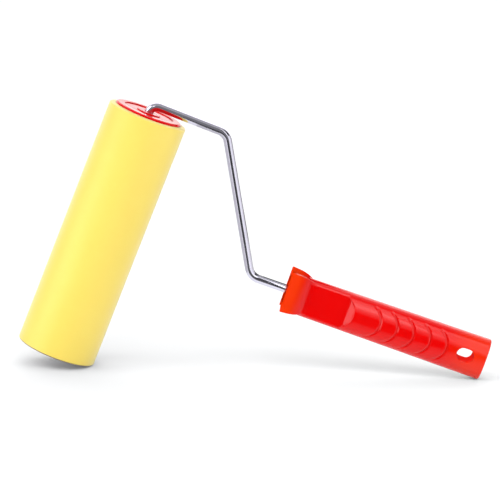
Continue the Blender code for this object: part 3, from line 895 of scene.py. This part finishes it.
def red_surface(name, gloss, thin=()):
    """Glossy moulded plastic, with a painted orange glow where light comes through its thin walls.

    Each thin place of painted glow is (origin, direction, ends, share), as ramp takes them.
    """
    surface = Surface(name, IOR=1.46, Specular_IOR_Level=gloss)
    tone = surface.noise(30, 3, 0.5)
    colour = surface.blend(tone, RED_BRIGHT, RED_DEEP)
    # Painted light: tint the colour orange where light would come through a thin wall
    for origin, along, ends, share in thin:
        amount = ramp(surface, origin, along, ends, (0.0, share))
        colour = surface.blend(amount, colour, RED_PAINTED_GLOW)
    surface.link(surface.neutral_bounce(colour, RED_BOUNCE), "Base Color")
    rubbed = surface.spread(surface.noise(160, 6, 0.7), 0.45, 0.75, *RED_ROUGHNESS)
    surface.link(rubbed, "Roughness")
    peel = surface.noise(900, 2, 0.4)
    surface.bump([(peel, 0.05, 0.0001)])
    surface.shader.inputs["Subsurface Weight"].default_value = 0.08
    surface.shader.inputs["Subsurface Radius"].default_value = (1.0, 0.12, 0.05)
    surface.shader.inputs["Subsurface Scale"].default_value = 0.002
    return surface


def handle_material():
    """Red plastic with a painted orange glow of light through the thin walls at the head and the butt, with a matt
    front face.
    """
    front = HANDLE.translation
    along = HANDLE.to_3x3() @ Vector((1, 0, 0))
    head_ends = [-distance for distance in PAINTED_GLOW_HEAD[:2]]
    thin = (
        (front, -along, head_ends, PAINTED_GLOW_HEAD[2]),
        (front, along, PAINTED_GLOW_BUTT[:2], PAINTED_GLOW_BUTT[2]),
    )
    surface = red_surface("red_plastic_handle", HANDLE_GLOSS, thin)
    matt_ends = [distance - HEAD_LEAD for distance in MATT_FRONT]
    gloss = ramp(surface, front, along, matt_ends, (0.0, HANDLE_GLOSS))
    surface.link(gloss, "Specular IOR Level")
    light_hole(surface, HANDLE @ Vector((HANG_HOLE_STATION, 0, 0)))
    return surface.material


def wire_material():
    """Bright plated wire with faint tarnish, fine scratches and slight haze."""
    surface = Surface("plated_wire_bright", Metallic=1.0)
    tarnish = surface.noise(120, 4, 0.6)
    surface.link(surface.blend(tarnish, WIRE_BRIGHT, WIRE_DULL), "Base Color")
    haze = surface.spread(surface.noise(420, 5, 0.7), 0.35, 0.8, *WIRE_ROUGHNESS)
    surface.link(haze, "Roughness")
    surface.bump([(surface.noise(1500, 4, 0.6), 0.06, 0.0001)])
    return surface.material


def steel_material():
    """Plain spring steel sheet with fine rolling marks."""
    surface = Surface("spring_steel_plain", Metallic=1.0)
    marks = surface.noise(800, 4, 0.6)
    surface.link(surface.blend(marks, (0.55, 0.55, 0.57), (0.38, 0.38, 0.4)), "Base Color")
    surface.link(surface.spread(marks, 0.3, 0.7, 0.25, 0.42), "Roughness")
    surface.bump([(marks, 0.1, 0.0001)])
    return surface.material


def core_material():
    """Extruded grey-white plastic tube, slightly mottled."""
    surface = Surface("core_plastic_plain", Roughness=0.5)
    tone = surface.noise(200, 4, 0.6)
    surface.link(surface.blend(tone, (0.76, 0.74, 0.7), (0.66, 0.64, 0.6)), "Base Color")
    surface.bump([(surface.noise(2000, 2, 0.5), 0.08, 0.0001)])
    return surface.material


def dress(piece, material):
    """Give a piece its material."""
    piece.data.materials.clear()
    piece.data.materials.append(material)


# ---------------------------------------------------------------- studio


def make_floor():
    """Pale floor that the tool stands on."""
    shape = bmesh.new()
    bmesh.ops.create_grid(shape, x_segments=8, y_segments=8, size=20)
    mesh = bpy.data.meshes.new("floor")
    shape.to_mesh(mesh)
    shape.free()
    floor = bpy.data.objects.new("floor", mesh)
    bpy.context.scene.collection.objects.link(floor)
    surface = Surface("floor_pale", Roughness=0.9)
    tone = surface.noise(3, 2, 0.5)
    surface.link(surface.blend(tone, (0.94, 0.945, 0.95), (0.925, 0.93, 0.935)), "Base Color")
    surface.shader.inputs["Specular IOR Level"].default_value = 0.0
    surface.shader.inputs["Emission Color"].default_value = (1, 1, 1, 1)
    surface.shader.inputs["Emission Strength"].default_value = FLOOR_GLOW
    mesh.materials.append(surface.material)


def make_card(name, rows):
    """Glowing or black card that only reflections see; it shapes the highlights."""
    corners = [end for row in rows for end in row[:2]]
    faces = [(i, i + 1, i + 3, i + 2) for i in range(0, len(corners) - 2, 2)]
    mesh = bpy.data.meshes.new(name)
    mesh.from_pydata(corners, [], faces)
    radiance = mesh.attributes.new("radiance", "FLOAT", "POINT")
    for index, item in enumerate(radiance.data):
        item.value = rows[index // 2][2]
    card = bpy.data.objects.new(name, mesh)
    bpy.context.scene.collection.objects.link(card)
    surface = Surface(name, Roughness=1.0)
    surface.shader.inputs["Base Color"].default_value = (0, 0, 0, 1)
    surface.shader.inputs["Specular IOR Level"].default_value = 0.0
    surface.shader.inputs["Emission Color"].default_value = (1, 1, 1, 1)
    glow = surface.add("ShaderNodeAttribute", attribute_name="radiance")
    surface.link(glow.outputs["Fac"], "Emission Strength")
    mesh.materials.append(surface.material)
    card.visible_camera = False
    card.visible_diffuse = False
    card.visible_shadow = False
    card.visible_transmission = False
    card.visible_volume_scatter = False


def direction(azimuth, elevation):
    """Unit vector from the tool; azimuth 0 is the front, and positive is to the right."""
    turn, rise = math.radians(azimuth), math.radians(elevation)
    return (math.sin(turn) * math.cos(rise), -math.cos(turn) * math.cos(rise), math.sin(rise))


def make_world():
    """Soft white surround: an even glow with broad lamps in it; behind all, it looks white."""
    world = bpy.data.worlds.new("studio")
    world.use_nodes = True
    tree = world.node_tree
    place = tree.nodes.new("ShaderNodeTexCoord").outputs["Generated"]
    total = None
    for azimuth, elevation, inner, outer, strength in LAMPS:
        toward = tree.nodes.new("ShaderNodeVectorMath")
        toward.operation = "DOT_PRODUCT"
        tree.links.new(place, toward.inputs[0])
        toward.inputs[1].default_value = direction(azimuth, elevation)
        lamp = tree.nodes.new("ShaderNodeMapRange")
        lamp.interpolation_type = "SMOOTHSTEP"
        tree.links.new(toward.outputs["Value"], lamp.inputs["Value"])
        lamp.inputs["From Min"].default_value = math.cos(math.radians(outer))
        lamp.inputs["From Max"].default_value = math.cos(math.radians(inner))
        lamp.inputs["To Min"].default_value = 0
        lamp.inputs["To Max"].default_value = strength
        sum_so_far = tree.nodes.new("ShaderNodeMath")
        sum_so_far.inputs[0].default_value = WORLD_LIGHT
        if total is not None:
            tree.links.new(total, sum_so_far.inputs[0])
        tree.links.new(lamp.outputs["Result"], sum_so_far.inputs[1])
        total = sum_so_far.outputs["Value"]
    seen = tree.nodes.new("ShaderNodeMapRange")
    rays = tree.nodes.new("ShaderNodeLightPath")
    tree.links.new(rays.outputs["Is Camera Ray"], seen.inputs["Value"])
    tree.links.new(total, seen.inputs["To Min"])
    seen.inputs["To Max"].default_value = WORLD_SEEN
    tree.links.new(seen.outputs["Result"], tree.nodes["Background"].inputs["Strength"])
    tree.nodes["Background"].inputs["Color"].default_value = (1, 1, 1, 1)
    bpy.context.scene.world = world


def make_studio():
    """White surround, one softbox and the cards that the gloss reflects."""
    make_world()
    light = bpy.data.lights.new("softbox_fill", "AREA")
    light.size = FILL_SIZE
    light.energy = FILL_POWER
    fill = bpy.data.objects.new("softbox_fill", light)
    fill.location = FILL_PLACE
    fill.rotation_euler = (-fill.location).to_track_quat("-Z", "Y").to_euler()
    fill.visible_glossy = False
    bpy.context.scene.collection.objects.link(fill)
    for name, rows in CARDS:
        make_card(name, rows)


def make_camera():
    """Long lens from just above, with the photographer's slight tilt."""
    forward = Vector((0, math.cos(CAMERA_ELEVATION), -math.sin(CAMERA_ELEVATION)))
    level = forward.cross(Vector((0, 0, 1))).normalized()
    upright = level.cross(forward)
    right = level * math.cos(CAMERA_ROLL) + upright * math.sin(CAMERA_ROLL)
    up = upright * math.cos(CAMERA_ROLL) - level * math.sin(CAMERA_ROLL)
    data = bpy.data.cameras.new("camera")
    data.lens = CAMERA_LENS
    data.sensor_width = 36
    camera = bpy.data.objects.new("camera", data)
    camera.matrix_world = Matrix((right, up, -forward)).transposed().to_4x4()
    camera.location = Vector(CAMERA_TARGET) - forward * CAMERA_DISTANCE
    bpy.context.scene.collection.objects.link(camera)
    bpy.context.scene.camera = camera


make_camera()
make_floor()
make_studio()

foam = make_foam_sleeve()
dress(foam, foam_material())
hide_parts("foam_cover")
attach(foam, "roller")

cap_red = red_surface("red_plastic_cap", CAP_GLOSS).material
outer_core_end = ROLLER_LENGTH / 2 - OUTER_CAP_SINK - FLANGE_HEIGHT
for side, core_end, turn in (
    ("inner", ROLLER_LENGTH / 2, 0),
    ("outer", -outer_core_end, math.pi),
):
    cap = make_cap(f"cap_{side}", core_end, turn)
    dress(cap, cap_red)
    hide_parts(f"end_cap_{side}")
    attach(cap, "roller")

wire = make_wire()
dress(wire, wire_material())
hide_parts("wire_frame")
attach(wire, "frame")

handle = make_handle()
dress(handle, handle_material())
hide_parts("handle")
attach(handle, "frame")

dress(frame["nodes"]["core_tube"], core_material())
steel = steel_material()
for node in ("retaining_washer", "push_nut"):
    dress(frame["nodes"][node], steel)

bpy.context.scene.view_settings.view_transform = "Standard"
